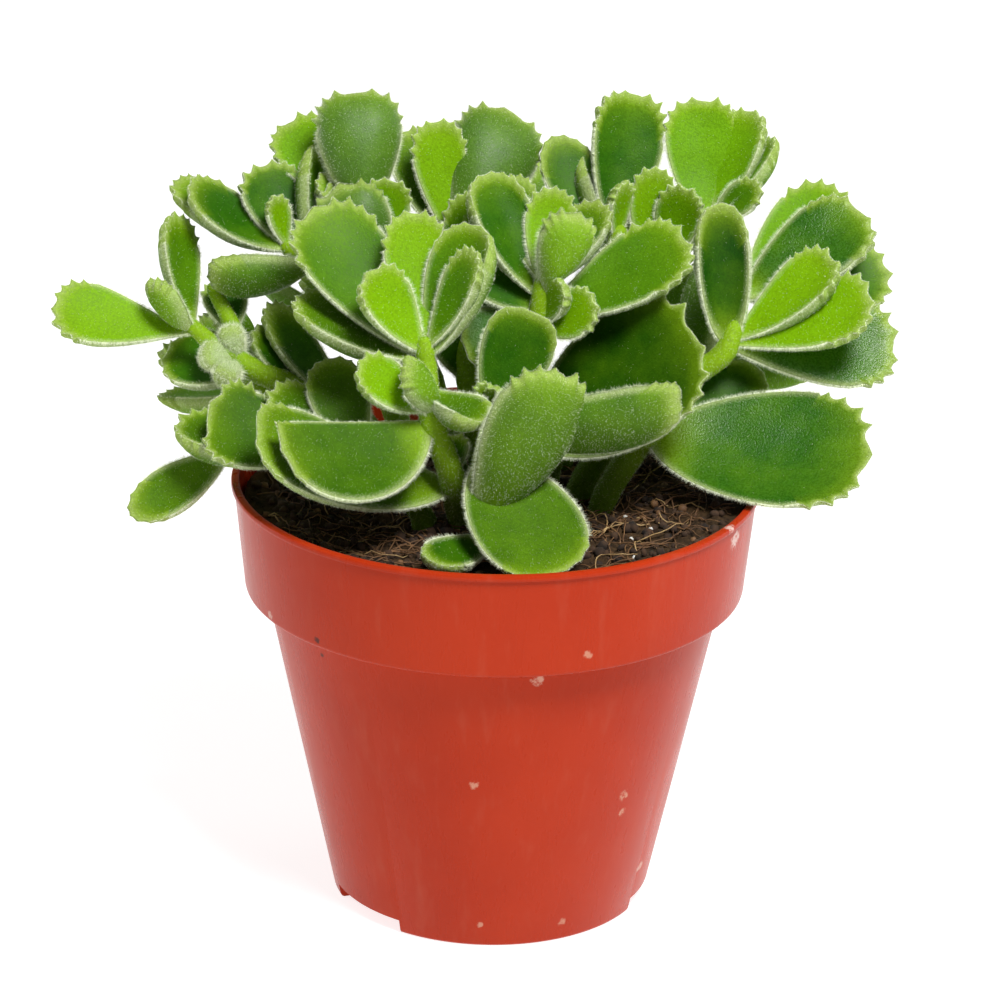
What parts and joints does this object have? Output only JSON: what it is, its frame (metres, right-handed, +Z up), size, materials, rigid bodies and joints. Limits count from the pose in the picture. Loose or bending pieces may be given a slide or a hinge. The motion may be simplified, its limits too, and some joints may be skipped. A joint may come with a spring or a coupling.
{
  "type": "potted plant",
  "caption": "Furry tooth-leaved succulent of many short stems in a round tapered nursery pot filled with soil.",
  "frame": {"origin": "middle of the pot's underside, on the ground", "axes": "+Z up along the pot's axis, -Y towards the front of the plant as pictured, +X to its right"},
  "size_m": [0.1675, 0.1215, 0.1603],
  "materials": {
    "pot": "satin terracotta-coloured plastic",
    "soil": "dark peaty soil, matte",
    "plant": "fleshy green leaf, fine hairs"
  },
  "bodies": {
    "root": {"pot": "pot", "soil": "soil", "shoot_front_left": "plant", "shoot_low_middle": "plant", "shoot_centre": "plant", "shoot_top_left": "plant", "shoot_left": "plant", "shoot_low_left": "plant", "shoot_upper_middle": "plant", "shoot_top_right": "plant", "shoot_right": "plant", "shoot_low_right": "plant", "shoot_back_left": "plant", "shoot_back_middle": "plant", "shoot_back_right": "plant", "shoot_back_far_right": "plant", "shoot_back_low_left": "plant"}
  },
  "joints": []
}
